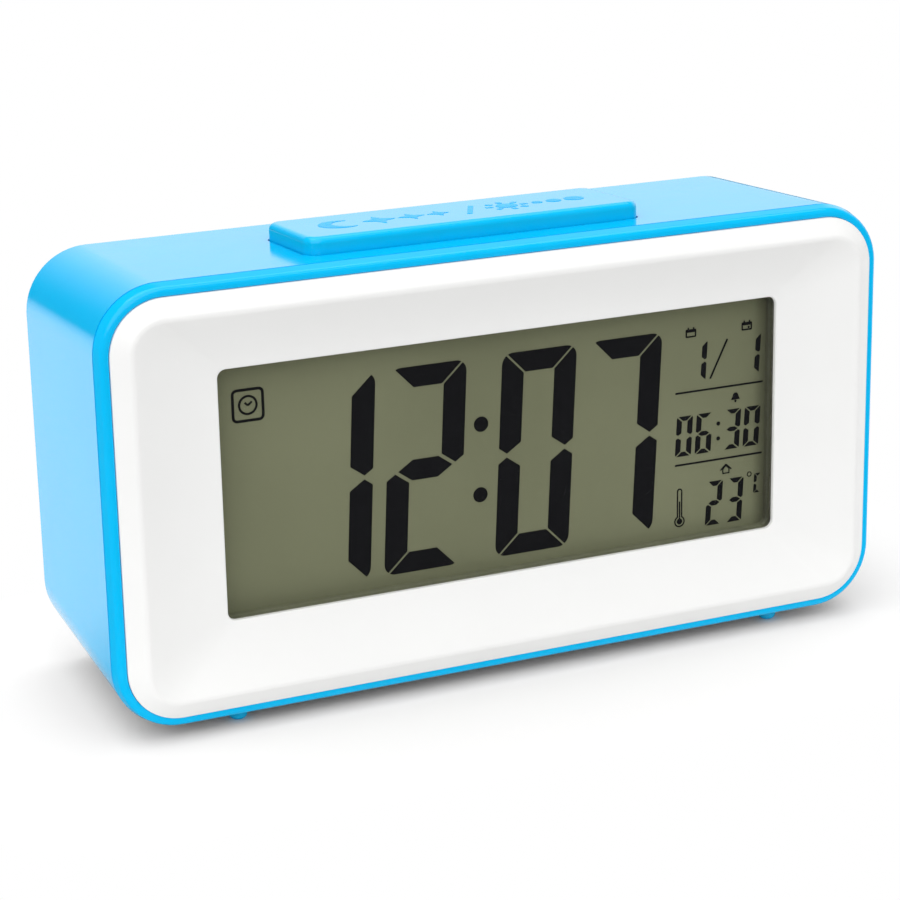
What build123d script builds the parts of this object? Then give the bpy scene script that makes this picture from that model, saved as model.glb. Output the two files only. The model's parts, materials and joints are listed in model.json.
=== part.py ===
from build123d import *
from math import atan2, cos, sin, tau
import os

os.makedirs("parts", exist_ok=True)

# The clock stands on its feet at z = 0 and its face looks along -Y.
# Sizes are in millimetres, and the case is worked out from the display outward.

# Display
window_width = 97.4
window_height = 40.2
window_corner = 1.4
lip_thickness = 0.7
lip_round = 0.3
lens_thickness = 1.0
lens_margin = 2.0
lens_play = 0.1
mask_depth = 1.8
glass_thickness = 1.1
glass_margin = 1.6
glass_ledge = 5.6
rear_glass_step = 4.4
pocket_gap = 0.2
guide_thickness = 3.0
led_length = 2.4
led_width = 4.0
led_depth = 2.6
led_spread = 20.0
strip_thickness = 2.4
strip_end = 2.0

# LCD holder and main board
holder_side = 3.4
holder_wall = 1.5
board_thickness = 1.6
board_inset = 0.9
board_screw_spread = 34.0
board_screw_radius = 0.85
board_screw_bite = 1.7
screw_clear = 0.1
screw_head_radius = 1.6
screw_head_height = 1.3

# Case
post_radius = 3.4
post_gap = 0.2
post_edge = 10.0
post_hole_radius = 1.35
post_front = 7.55
post_shelf = 6.0
case_screw_radius = 1.1
case_screw_bite = 5.0
case_screw_head_radius = 2.1
case_screw_head_height = 1.8
counterbore_radius = 2.4
boss_radius = 2.9
boss_bite = 0.1
top_room = 11.13
bottom_room = 8.27
corner_radius = 10.4
body_depth = 39.0
side_taper = 0.45
top_taper = 1.85
bottom_taper = 2.5
wall = 2.0
back_wall = 2.2
back_edge_round = 0.8
seam_width = 0.4
seam_depth = 0.45
fuse_depth = 0.8
tolerance = 0.01

# Feet
front_clearance = 1.85
foot_radius = 1.5
foot_round = 0.85
foot_spread = 96.5
foot_shift = 1.35
foot_front = 2.0
foot_rear = 6.0

# Rim and bezel
rim_depth = 2.3
rim_width = 1.8
rim_draft = 0.5
rim_outer_round = 1.0
rim_inner_round = 0.3
ledge_width = 3.0
ledge_thickness = 1.0
tongue_gap = 0.3
tongue_thickness = 1.2
tongue_depth = 3.5
bezel_gap = 0.03
bezel_step = 0.2
band_side = 2.9
band_end = 3.1
ridge_proud = 2.2
ridge_corner = 5.0
ridge_round = 1.1
dish_steps = 8
dish_power = 1.5
lip_depth = 1.35
groove_edge = 2.35
groove_side = 4.15
groove_end = 3.0
groove_depth = 1.05

# Snooze bar
bar_length = 58.0
bar_width = 19.3
bar_corner = 2.4
bar_round = 1.1
bar_proud = 2.75
bar_shift = -1.7
bar_setback = 18.0
bar_gap = 0.25
bar_seat_gap = 0.1
bar_travel = 1.0
bar_wall = 1.8
bar_roof = 1.7
flange_width = 1.2
flange_thickness = 1.2
stem_drop = 1.6
stem_radius = 2.4
peg_size = 4.0
peg_length = 2.0
bracket_width = 9.6
bracket_setback = 0.4
bracket_thickness = 1.6
bracket_post_radius = 2.4
bracket_post_gap = 1.2
bracket_end = 3.6
spring_spread = 38.0
spring_thickness = 0.4
spring_width = 5.0
spring_leg = 4.0
spring_gap = 0.05
snooze_board_length = 24.0
snooze_board_width = 9.0
small_board = 1.2
stake_radius = 0.8
stake_spread = 18.0

# Push switches
switch_size = 6.0
switch_height = 3.5
plunger_radius = 1.6
plunger_gap = 0.15
plunger_proud = 1.2
plunger_sunk = 0.9
plunger_room = 0.3
contact_gap = 0.05

# Rear controls
button_count = 4
button_pitch = 14.0
button_radius = 3.4
button_gap = 0.25
button_round = 0.5
button_inset = 0.3
button_travel = 0.6
button_flange_width = 1.0
button_flange_thickness = 1.0
button_seat_gap = 0.1
control_shift = -6.0
control_rise = 20.0
recess_depth = 1.6
recess_height = 13.0
recess_corner = 3.0
recess_margin = 5.6
recess_floor = 1.8
slide_offset = 15.0
slide_travel = 3.0
slide_gap = 0.25
knob_length = 3.6
knob_width = 2.6
knob_inset = 0.4
knob_sunk = 2.0
knob_ribs = 3
rib_width = 0.4
rib_depth = 0.35
slide_body_margin = 1.4
slide_body_height = 4.0
key_board_height = 17.0
key_post_radius = 2.3
key_screw_bite = 4.0

# Battery bay
cell_count = 3
cell_diameter = 10.5
cell_length = 44.5
nub_radius = 1.9
nub_length = 1.0
cell_gap = 0.7
cell_door_gap = 0.6
cell_floor_gap = 0.45
plate_thickness = 0.4
plate_size = 8.0
plate_gap = 0.05
spring_room = 5.05
leaf_width = 5.0
leaf_tip_gap = 0.6
bridge_width = 4.0
bay_wall = 1.4
bay_lift = 4.2
bay_shift = -10.0
door_lap = 2.0
door_gap = 0.25
door_seat_gap = 0.05
door_thickness = 2.0
frame_wall = 1.15
frame_depth = 1.65
hook_width = 6.0
hook_spread = 30.0
hook_drop = 1.6
hook_reach = 1.0
hook_depth = 2.15
hook_wall_gap = 0.25
hook_room = 0.5
notch_length = 14.0
notch_height = 2.0
notch_depth = 1.2
grip_count = 4
grip_length = 18.0
grip_pitch = 2.4
grip_width = 0.9
grip_depth = 0.4

# Buzzer and small parts
buzzer_radius = 11.0
buzzer_depth = 4.0
buzzer_gap = 0.2
buzzer_ring = 1.2
buzzer_margin = 8.6
buzzer_rise = -12.0
grille_radius = 0.8
grille_pitch = 3.2
grille_rings = 2
blob_radius = 7.0
blob_height = 1.8
blob_round = 1.0
crystal_radius = 1.0
crystal_length = 6.0
crystal_x = 21.0
crystal_rise = 7.0
capacitor_radius = 2.5
capacitor_height = 7.0
capacitor_pitch = 9.0
capacitor_x = 35.0
thermistor_radius = 1.6
thermistor_depth = 1.2
thermistor_x = -35.0
thermistor_drop = 7.0
lead_radius = 0.6
lead_gap = 0.3
lead_run = 5.8
lead_share = 0.45
buzzer_lead_pitch = 6.0
buzzer_lead_run = 7.0
buzzer_lead_step = 6.0
ribbon_width = 8.0
ribbon_thickness = 0.6
ribbon_drop = 5.5
ribbon_run = 5.0
ribbon_fall = 3.0
snooze_lead_radius = 0.5
snooze_lead_pitch = 4.0
snooze_lead_fall = 5.0

# Heights, from the floor up
case_low = front_clearance
holder_low = case_low + bottom_room
glass_low = holder_low + holder_wall + pocket_gap
window_low = glass_low + glass_ledge
window_top = window_low + window_height
glass_top = window_top + glass_margin
holder_top = glass_top + pocket_gap + holder_wall
case_top = holder_top + top_room
window_z = (window_low + window_top) / 2
holder_z = (holder_low + holder_top) / 2
face_z = (case_low + case_top) / 2

# Widths, from the middle out
glass_width = window_width + 2 * glass_margin
holder_width = glass_width + 2 * (pocket_gap + holder_side)
holder_height = holder_top - holder_low
post_x = holder_width / 2 + post_gap + post_radius
case_width = 2 * (post_x + post_edge)
case_height = case_top - case_low
post_z = case_height / 2 - post_edge

# Depths, from the ridge of the bezel to the back
overall_depth = ridge_proud + rim_depth + body_depth
ridge_y = -overall_depth / 2
rim_y = ridge_y + ridge_proud
seam_y = rim_y + rim_depth
back_y = seam_y + body_depth
inner_back_y = back_y - back_wall
ledge_y = seam_y - ledge_thickness
lip_y = rim_y + lip_depth
lens_y = lip_y + lip_thickness
holder_y = lens_y + lens_thickness + lens_play
glass_y = holder_y + mask_depth
rear_glass_y = glass_y + glass_thickness
guide_y = rear_glass_y + glass_thickness
board_y = guide_y + guide_thickness
board_back_y = board_y + board_thickness
boss_end_y = rim_y + post_front
shelf_y = boss_end_y + post_shelf


# Helpers: a plane at depth y has X to the right and Z up, and its normal looks to the front
def at_depth(y):
    return Plane.XZ.offset(-y)


def rounded(y, width, height, radius, x=0.0, z=face_z):
    with BuildSketch(at_depth(y)) as outline:
        with Locations((x, z)):
            RectangleRounded(width, height, radius)
    return outline.sketch


def slab(y_front, y_rear, width, height, radius, x=0.0, z=face_z, mode=Mode.ADD):
    extrude(rounded(y_front, width, height, radius, x, z), amount=y_front - y_rear, mode=mode)


def inset_slab(y_front, y_rear, inset, radius, mode=Mode.ADD):
    slab(y_front, y_rear, case_width - 2 * inset, case_height - 2 * inset, radius, mode=mode)


def block(x_span, y_span, z_span, mode=Mode.ADD):
    spans = (x_span, y_span, z_span)
    with Locations(tuple((low + high) / 2 for low, high in spans)):
        Box(*(high - low for low, high in spans), mode=mode)


def peg(radius, y_front, y_rear, x, z, mode=Mode.ADD):
    with Locations((x, (y_front + y_rear) / 2, z)):
        Cylinder(radius, y_rear - y_front, rotation=(90, 0, 0), mode=mode)


def case_outline(y, inset):
    share = (y - seam_y) / body_depth
    width = case_width - 2 * (side_taper * share + inset)
    height = case_height - (top_taper + bottom_taper) * share - 2 * inset
    z = face_z + (bottom_taper - top_taper) / 2 * share
    return rounded(y, width, height, corner_radius - inset, z=z)


def case_floor(y):
    return case_low + bottom_taper * (y - seam_y) / body_depth


corners = [(side * post_x, face_z + rise * post_z) for side in (-1, 1) for rise in (-1, 1)]
board_screw_x = holder_width / 2 - holder_side / 2
board_screws_at = [
    (side * board_screw_x, window_z + rise * board_screw_spread / 2) for side in (-1, 1) for rise in (-1, 1)
]

# The top slopes down to the back, and the snooze bar moves square to it
top_slope = atan2(top_taper, body_depth)
bar_y = rim_y + bar_setback
bar_top_z = case_top - top_taper * (bar_y - seam_y) / body_depth
top_plane = Plane(
    origin=(bar_shift, bar_y, bar_top_z), x_dir=(1, 0, 0), z_dir=(0, sin(top_slope), cos(top_slope))
)
flange_top = -(wall + bar_seat_gap)
flange_low = flange_top - flange_thickness
bar_ceiling = bar_proud - bar_roof
stem_low = flange_low - stem_drop
snooze_plunger_top = stem_low - contact_gap
snooze_switch_top = snooze_plunger_top - plunger_proud
snooze_board_top = snooze_switch_top - switch_height
bracket_top = snooze_board_top - small_board
bracket_low = bracket_top - bracket_thickness
peg_low = flange_low - peg_length
bracket_post_x = bar_length / 2 + flange_width + bracket_post_gap + bracket_post_radius
bracket_length = 2 * (bracket_post_x + bracket_end)

# Rear controls sit in a recess, and their board stands behind the recess floor
control_z = face_z + control_rise
recess_y = back_y - recess_depth
recess_inner_y = recess_y - recess_floor
flange_y = recess_inner_y - button_seat_gap - button_flange_thickness
key_plunger_y = flange_y - contact_gap
key_switch_y = key_plunger_y - plunger_proud
key_board_back_y = key_switch_y - switch_height
key_board_y = key_board_back_y - small_board
button_xs = [control_shift + (i - (button_count - 1) / 2) * button_pitch for i in range(button_count)]
slide_x = button_xs[-1] + slide_offset
slot_length = knob_length + slide_travel + 2 * slide_gap
slot_width = knob_width + 2 * slide_gap
controls_low = button_xs[0] - button_radius - recess_margin
controls_high = slide_x + slot_length / 2 + recess_margin
controls_x = (controls_low + controls_high) / 2
controls_length = controls_high - controls_low
recess_outline = (controls_length, recess_height, recess_corner, controls_x, control_z)
key_board_outline = (controls_length, key_board_height, recess_corner, controls_x, control_z)
key_posts_x = (
    controls_low + key_post_radius,
    (button_xs[-1] + slide_x) / 2,
)

# Battery bay and its door
cell_pitch = cell_diameter + cell_gap
bay_low = case_floor(back_y) + wall + bay_lift
bay_high = bay_low + cell_count * cell_pitch + cell_gap
bay_half = (cell_length + spring_room + 2 * plate_thickness + plate_gap) / 2
door_inner_y = back_y - door_thickness
cell_y = door_inner_y - cell_door_gap - cell_diameter / 2
bay_floor_y = cell_y - cell_diameter / 2 - cell_floor_gap
cell_zs = [bay_low + cell_gap + cell_diameter / 2 + i * cell_pitch for i in range(cell_count)]
cell_ways = [1 if i % 2 == 0 else -1 for i in range(cell_count)]
leaf_reach = spring_room + plate_thickness / 2 - leaf_tip_gap
battery_leads_at = ((1, cell_zs[0]), (-1, cell_zs[-1]))
door_half = bay_half + door_lap
door_low = bay_low - door_lap
door_high = bay_high + door_lap
seat_y = door_inner_y - door_seat_gap
frame_y = inner_back_y - frame_depth
frame_half = door_half + door_gap + frame_wall
hook_xs = (bay_shift - hook_spread / 2, bay_shift + hook_spread / 2)
hook_y = (door_inner_y - hook_depth, inner_back_y - hook_wall_gap)
hook_z = (door_low - hook_drop, bay_low + hook_reach)
buzzer_x = bay_shift + frame_half + buzzer_margin + buzzer_ring + buzzer_gap + buzzer_radius
buzzer_z = face_z + buzzer_rise
buzzer_y = inner_back_y - contact_gap - buzzer_depth
grille_at = [(0.0, 0.0)]
for ring in range(1, grille_rings + 1):
    ring_holes = 6 * ring
    for i in range(ring_holes):
        angle = tau * i / ring_holes
        grille_at.append((ring * grille_pitch * cos(angle), ring * grille_pitch * sin(angle)))

pieces = {}

# Rear case: tapered tube, back wall, posts, bay, recess, feet
with BuildPart() as rear_case:
    loft([case_outline(seam_y + seam_width, 0), case_outline(back_y, 0)], ruled=True)
    fillet(rear_case.faces().sort_by(Axis.Y)[-1].edges(), back_edge_round)
    extrude(case_outline(seam_y, seam_depth), amount=-seam_width)
    loft([case_outline(seam_y, wall), case_outline(inner_back_y, wall)], ruled=True, mode=Mode.SUBTRACT)
    for side in (-1, 1):
        for foot_y in (seam_y + foot_front, back_y - foot_rear):
            foot_top = case_floor(foot_y) + fuse_depth
            with Locations((foot_shift + side * foot_spread / 2, foot_y, foot_top / 2)):
                Cylinder(foot_radius, foot_top)
    fillet(rear_case.edges().filter_by(GeomType.CIRCLE).group_by(Axis.Z)[0], foot_round)
    for x, z in corners:
        peg(post_radius, boss_end_y, inner_back_y + fuse_depth, x, z)
    # Battery bay with the thick frame that carries the door
    block(
        (bay_shift - bay_half - bay_wall, bay_shift + bay_half + bay_wall),
        (bay_floor_y - bay_wall, inner_back_y + fuse_depth),
        (bay_low - bay_wall, bay_high + bay_wall),
    )
    block(
        (bay_shift - frame_half, bay_shift + frame_half),
        (frame_y, inner_back_y + fuse_depth),
        (door_low - door_gap - frame_wall, door_high + door_gap + frame_wall),
    )
    block(
        (bay_shift - bay_half, bay_shift + bay_half),
        (bay_floor_y, back_y),
        (bay_low, bay_high),
        mode=Mode.SUBTRACT,
    )
    block(
        (bay_shift - door_half - door_gap, bay_shift + door_half + door_gap),
        (seat_y, back_y),
        (door_low - door_gap, door_high + door_gap),
        mode=Mode.SUBTRACT,
    )
    for x in hook_xs:
        block(
            (x - hook_width / 2 - hook_room, x + hook_width / 2 + hook_room),
            (hook_y[0] - hook_room, inner_back_y),
            (hook_z[0] - hook_room, bay_low + hook_reach),
            mode=Mode.SUBTRACT,
        )
        block(
            (x - hook_width / 2 - hook_room, x + hook_width / 2 + hook_room),
            (inner_back_y, seat_y),
            (door_low - door_gap, bay_low),
            mode=Mode.SUBTRACT,
        )
    block(
        (bay_shift - notch_length / 2, bay_shift + notch_length / 2),
        (back_y - notch_depth, back_y),
        (door_high, door_high + door_gap + notch_height),
        mode=Mode.SUBTRACT,
    )
    for side, z in battery_leads_at:
        with Locations((bay_shift + side * (bay_half + bay_wall / 2), cell_y, z)):
            Cylinder(lead_radius + lead_gap, bay_wall, rotation=(0, 90, 0), mode=Mode.SUBTRACT)
    # Recess for the rear controls, with a thicker floor inside
    slab(recess_inner_y, inner_back_y, *key_board_outline)
    for x in key_posts_x:
        peg(key_post_radius, key_board_back_y, recess_inner_y + fuse_depth, x, control_z)
    slab(recess_y, back_y, *recess_outline, mode=Mode.SUBTRACT)
    for x in button_xs:
        peg(button_radius + button_gap, recess_inner_y, back_y, x, control_z, mode=Mode.SUBTRACT)
    block(
        (slide_x - slot_length / 2, slide_x + slot_length / 2),
        (recess_inner_y, back_y),
        (control_z - slot_width / 2, control_z + slot_width / 2),
        mode=Mode.SUBTRACT,
    )
    for x in key_posts_x:
        peg(
            board_screw_radius + screw_clear / 2,
            key_board_back_y,
            key_board_back_y + key_screw_bite,
            x,
            control_z,
            mode=Mode.SUBTRACT,
        )
    # Buzzer ring and grille
    peg(buzzer_radius + buzzer_gap + buzzer_ring, buzzer_y, inner_back_y + fuse_depth, buzzer_x, buzzer_z)
    peg(buzzer_radius + buzzer_gap, buzzer_y, inner_back_y, buzzer_x, buzzer_z, mode=Mode.SUBTRACT)
    for x, z in grille_at:
        peg(grille_radius, inner_back_y, back_y, buzzer_x + x, buzzer_z + z, mode=Mode.SUBTRACT)
    # Snooze bar's slot and the two posts of its bracket
    with BuildSketch(top_plane.offset(bracket_top)) as bracket_posts:
        with Locations((-bracket_post_x, bracket_setback), (bracket_post_x, bracket_setback)):
            Circle(bracket_post_radius)
    extrude(bracket_posts.sketch, amount=-bracket_top - wall + fuse_depth)
    with BuildSketch(top_plane.offset(bracket_top)) as bracket_pilots:
        with Locations((-bracket_post_x, bracket_setback), (bracket_post_x, bracket_setback)):
            Circle(board_screw_radius + screw_clear / 2)
    extrude(bracket_pilots.sketch, amount=key_screw_bite, mode=Mode.SUBTRACT)
    with BuildSketch(top_plane.offset(-2 * wall)) as slot:
        RectangleRounded(bar_length + 2 * bar_gap, bar_width + 2 * bar_gap, bar_corner + bar_gap)
    extrude(slot.sketch, amount=3 * wall, mode=Mode.SUBTRACT)
    for x, z in corners:
        peg(post_hole_radius, boss_end_y, shelf_y, x, z, mode=Mode.SUBTRACT)
        peg(counterbore_radius, shelf_y, back_y, x, z, mode=Mode.SUBTRACT)
pieces["rear_case"] = rear_case

# Front rim: a rounded bead, a ledge for the bezel and a tongue into the case
with BuildPart() as front_rim:
    rim_front = (case_width - 2 * rim_draft, case_height - 2 * rim_draft, corner_radius - rim_draft)
    loft([case_outline(seam_y, 0), rounded(rim_y, *rim_front)], ruled=True)
    fillet(front_rim.faces().sort_by(Axis.Y)[0].edges(), rim_outer_round)
    inset_slab(rim_y, seam_y, rim_width, corner_radius - rim_width, mode=Mode.SUBTRACT)
    fillet(front_rim.edges(Select.LAST).group_by(Axis.Y)[0], rim_inner_round)
    with BuildSketch(at_depth(ledge_y)) as ledge:
        with Locations((0, face_z)):
            RectangleRounded(case_width - rim_width, case_height - rim_width, corner_radius - rim_width / 2)
            ledge_inset = rim_width + ledge_width
            RectangleRounded(
                case_width - 2 * ledge_inset,
                case_height - 2 * ledge_inset,
                corner_radius - ledge_inset,
                mode=Mode.SUBTRACT,
            )
    extrude(ledge.sketch, amount=-ledge_thickness)
    with BuildSketch(at_depth(seam_y - ledge_thickness / 2)) as tongue:
        with Locations((0, face_z)):
            for inset, mode in (
                (wall + tongue_gap, Mode.ADD),
                (wall + tongue_gap + tongue_thickness, Mode.SUBTRACT),
            ):
                RectangleRounded(
                    case_width - 2 * inset, case_height - 2 * inset, corner_radius - inset, mode=mode
                )
    extrude(tongue.sketch, amount=-tongue_depth)
pieces["front_rim"] = front_rim

# Front bezel: outer band up to a soft ridge, then a dish down to the window
bezel_inset = rim_width + bezel_gap
ridge_outline = (
    case_width - 2 * (bezel_inset + band_side),
    case_height - 2 * (bezel_inset + band_end),
    ridge_corner,
)
skirt_y = rim_y - bezel_step
lens_width = window_width + 2 * lens_margin
lens_height = window_height + 2 * lens_margin
window_outline = (window_width, window_height, window_corner)


def dish_outline(share):  # from 0 at the ridge to 1 at the window
    y = lip_y - (lip_y - ridge_y) * (1 - share) ** dish_power
    outline = [start + share * (end - start) for start, end in zip(ridge_outline, window_outline)]
    return rounded(y, *outline, z=face_z + share * (window_z - face_z))


with BuildPart() as front_bezel:
    skirt = (case_width - 2 * bezel_inset, case_height - 2 * bezel_inset, corner_radius - bezel_inset)
    slab(skirt_y, ledge_y, *skirt)
    loft([rounded(skirt_y, *skirt), rounded(ridge_y, *ridge_outline)], ruled=True)
    slab(ledge_y - fuse_depth, holder_y, holder_width, holder_height, window_corner, z=holder_z)
    dish = [dish_outline(step / dish_steps) for step in range(dish_steps + 1)]
    loft(dish, ruled=True, mode=Mode.SUBTRACT)
    ridge = front_bezel.edges().group_by(Axis.Y)[0]
    fillet(ridge, ridge_round)
    slab(lip_y, holder_y, *window_outline, z=window_z, mode=Mode.SUBTRACT)
    lip = front_bezel.edges().filter_by_position(Axis.Y, lip_y - tolerance, lip_y + tolerance)
    fillet(lip, lip_round)
    slab(
        lens_y,
        holder_y,
        lens_width + 2 * pocket_gap,
        lens_height + 2 * pocket_gap,
        window_corner,
        z=window_z,
        mode=Mode.SUBTRACT,
    )
    # A groove behind the ridge keeps the wall thin
    with BuildSketch(at_depth(ledge_y)) as groove:
        with Locations((0, face_z)):
            groove_inset = bezel_inset + groove_edge
            RectangleRounded(
                case_width - 2 * groove_inset, case_height - 2 * groove_inset, corner_radius - groove_inset
            )
        with Locations((0, holder_z)):
            RectangleRounded(
                holder_width + 2 * groove_side,
                holder_height + 2 * groove_end,
                window_corner,
                mode=Mode.SUBTRACT,
            )
    extrude(groove.sketch, amount=groove_depth, mode=Mode.SUBTRACT)
    for x, z in corners:
        peg(boss_radius, ledge_y - groove_depth - boss_bite, boss_end_y, x, z)
        peg(
            case_screw_radius + screw_clear / 2,
            boss_end_y - case_screw_bite - screw_clear,
            boss_end_y,
            x,
            z,
            mode=Mode.SUBTRACT,
        )
    for x, z in board_screws_at:
        peg(
            board_screw_radius + screw_clear / 2,
            holder_y - board_screw_bite - screw_clear,
            holder_y,
            x,
            z,
            mode=Mode.SUBTRACT,
        )
pieces["front_bezel"] = front_bezel

with BuildPart() as display_window:
    slab(lens_y, lens_y + lens_thickness, lens_width, lens_height, window_corner, z=window_z)
pieces["display_window"] = display_window

# LCD holder: a dark mask round the window and a pocket for the glass and the light guide
with BuildPart() as lcd_frame:
    slab(holder_y, board_y, holder_width, holder_height, window_corner, z=holder_z)
    slab(holder_y, glass_y, *window_outline, z=window_z, mode=Mode.SUBTRACT)
    block(
        (-glass_width / 2 - pocket_gap, glass_width / 2 + pocket_gap),
        (glass_y, board_y),
        (glass_low - pocket_gap, glass_top + pocket_gap),
        mode=Mode.SUBTRACT,
    )
    for x, z in board_screws_at:
        peg(board_screw_radius + screw_clear, holder_y, board_y, x, z, mode=Mode.SUBTRACT)
pieces["lcd_frame"] = lcd_frame

rear_glass_low = glass_low + rear_glass_step
guide_left = -glass_width / 2 + led_length + pocket_gap
with BuildPart() as lcd_front_glass:
    block((-glass_width / 2, glass_width / 2), (glass_y, rear_glass_y), (glass_low, glass_top))
pieces["lcd_front_glass"] = lcd_front_glass

with BuildPart() as lcd_rear_glass:
    block((-glass_width / 2, glass_width / 2), (rear_glass_y, guide_y), (rear_glass_low, glass_top))
pieces["lcd_rear_glass"] = lcd_rear_glass

with BuildPart() as light_guide:
    block((guide_left, glass_width / 2), (guide_y, board_y), (rear_glass_low, glass_top))
pieces["light_guide"] = light_guide

with BuildPart() as backlight_leds:
    for rise in (-1, 1):
        led_z = window_z + rise * led_spread / 2
        block(
            (-glass_width / 2, -glass_width / 2 + led_length),
            (board_y - led_depth, board_y),
            (led_z - led_width / 2, led_z + led_width / 2),
        )
pieces["backlight_leds"] = backlight_leds

with BuildPart() as contact_strip:
    strip_z = (glass_low + rear_glass_low) / 2
    block(
        (-glass_width / 2 + strip_end, glass_width / 2 - strip_end),
        (rear_glass_y, board_y),
        (strip_z - strip_thickness / 2, strip_z + strip_thickness / 2),
    )
pieces["contact_strip"] = contact_strip

# Main board and what is soldered to its rear face
board_half = holder_width / 2 - board_inset
with BuildPart() as main_board:
    block((-board_half, board_half), (board_y, board_back_y), (holder_low, holder_top))
    for x, z in board_screws_at:
        peg(board_screw_radius + screw_clear, board_y, board_back_y, x, z, mode=Mode.SUBTRACT)
pieces["main_board"] = main_board

with BuildPart() as chip_blob:
    peg(blob_radius, board_back_y, board_back_y + blob_height, 0, window_z)
    fillet(chip_blob.edges().group_by(Axis.Y)[-1], blob_round)
pieces["chip_blob"] = chip_blob

with BuildPart() as quartz_crystal:
    with Locations((crystal_x, board_back_y + crystal_radius, window_z + crystal_rise)):
        Cylinder(crystal_radius, crystal_length, rotation=(0, 90, 0))
pieces["quartz_crystal"] = quartz_crystal

with BuildPart() as capacitors:
    for rise in (-1, 1):
        capacitor_z = window_z + rise * capacitor_pitch / 2
        peg(capacitor_radius, board_back_y, board_back_y + capacitor_height, capacitor_x, capacitor_z)
pieces["capacitors"] = capacitors

with BuildPart() as thermistor:
    thermistor_z = window_z - thermistor_drop
    peg(thermistor_radius, board_back_y, board_back_y + thermistor_depth, thermistor_x, thermistor_z)
pieces["thermistor"] = thermistor

with BuildPart() as board_screws:
    for x, z in board_screws_at:
        peg(board_screw_radius, holder_y - board_screw_bite, board_back_y, x, z)
        peg(screw_head_radius, board_back_y, board_back_y + screw_head_height, x, z)
pieces["board_screws"] = board_screws

with BuildPart() as case_screws:
    for x, z in corners:
        peg(case_screw_radius, boss_end_y - case_screw_bite, shelf_y, x, z)
        peg(case_screw_head_radius, shelf_y, shelf_y + case_screw_head_height, x, z)
pieces["case_screws"] = case_screws

# Snooze bar: a hollow cap with a stop flange, a stem over the switch and two spring pegs
with BuildPart() as snooze_bar:
    with BuildSketch(top_plane.offset(flange_low)):
        RectangleRounded(bar_length, bar_width, bar_corner)
    extrude(amount=bar_proud - flange_low)
    fillet(snooze_bar.faces().sort_by(Axis.Z)[-1].edges(), bar_round)
    with BuildSketch(top_plane.offset(flange_low)):
        RectangleRounded(bar_length + 2 * flange_width, bar_width + 2 * flange_width, bar_corner)
    extrude(amount=flange_thickness)
    with BuildSketch(top_plane.offset(flange_low)):
        RectangleRounded(bar_length - 2 * bar_wall, bar_width - 2 * bar_wall, bar_corner / 2)
    extrude(amount=bar_ceiling - flange_low, mode=Mode.SUBTRACT)
    with BuildSketch(top_plane.offset(stem_low)):
        with Locations((0, bracket_setback)):
            Circle(stem_radius)
    extrude(amount=bar_ceiling + fuse_depth - stem_low)
    with BuildSketch(top_plane.offset(peg_low)):
        with Locations((-spring_spread / 2, bracket_setback), (spring_spread / 2, bracket_setback)):
            Rectangle(peg_size, peg_size)
    extrude(amount=bar_ceiling + fuse_depth - peg_low)
pieces["snooze_bar"] = snooze_bar

with BuildPart() as snooze_bracket:
    with BuildSketch(top_plane.offset(bracket_low)):
        with Locations((0, bracket_setback)):
            RectangleRounded(bracket_length, bracket_width, bracket_end / 2)
        with Locations((-bracket_post_x, bracket_setback), (bracket_post_x, bracket_setback)):
            Circle(board_screw_radius + screw_clear, mode=Mode.SUBTRACT)
        with Locations((-snooze_lead_pitch / 2, bracket_setback), (snooze_lead_pitch / 2, bracket_setback)):
            Circle(snooze_lead_radius + lead_gap, mode=Mode.SUBTRACT)
    extrude(amount=bracket_thickness)
    with BuildSketch(top_plane.offset(bracket_top)):
        with Locations((-stake_spread / 2, bracket_setback), (stake_spread / 2, bracket_setback)):
            Circle(stake_radius)
    extrude(amount=small_board + screw_clear)
pieces["snooze_bracket"] = snooze_bracket

with BuildPart() as bracket_screws:
    with BuildSketch(top_plane.offset(bracket_low)):
        with Locations((-bracket_post_x, bracket_setback), (bracket_post_x, bracket_setback)):
            Circle(board_screw_radius)
    extrude(amount=bracket_thickness + key_screw_bite - screw_clear)
    with BuildSketch(top_plane.offset(bracket_low - screw_head_height)):
        with Locations((-bracket_post_x, bracket_setback), (bracket_post_x, bracket_setback)):
            Circle(screw_head_radius)
    extrude(amount=screw_head_height)
pieces["bracket_screws"] = bracket_screws

with BuildPart() as snooze_board:
    with BuildSketch(top_plane.offset(bracket_top)):
        with Locations((0, bracket_setback)):
            Rectangle(snooze_board_length, snooze_board_width)
        with Locations((-stake_spread / 2, bracket_setback), (stake_spread / 2, bracket_setback)):
            Circle(stake_radius + screw_clear, mode=Mode.SUBTRACT)
    extrude(amount=small_board)
pieces["snooze_board"] = snooze_board

with BuildPart() as snooze_switch:
    with BuildSketch(top_plane.offset(snooze_board_top)):
        with Locations((0, bracket_setback)):
            Rectangle(switch_size, switch_size)
    extrude(amount=switch_height)
    with BuildSketch(top_plane.offset(snooze_switch_top)):
        with Locations((0, bracket_setback)):
            Circle(plunger_radius + plunger_gap)
    extrude(amount=-(plunger_sunk + bar_travel + plunger_room), mode=Mode.SUBTRACT)
pieces["snooze_switch"] = snooze_switch

with BuildPart() as snooze_plunger:
    with BuildSketch(top_plane.offset(snooze_switch_top - plunger_sunk)):
        with Locations((0, bracket_setback)):
            Circle(plunger_radius)
    extrude(amount=plunger_sunk + plunger_proud)
pieces["snooze_plunger"] = snooze_plunger

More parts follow.
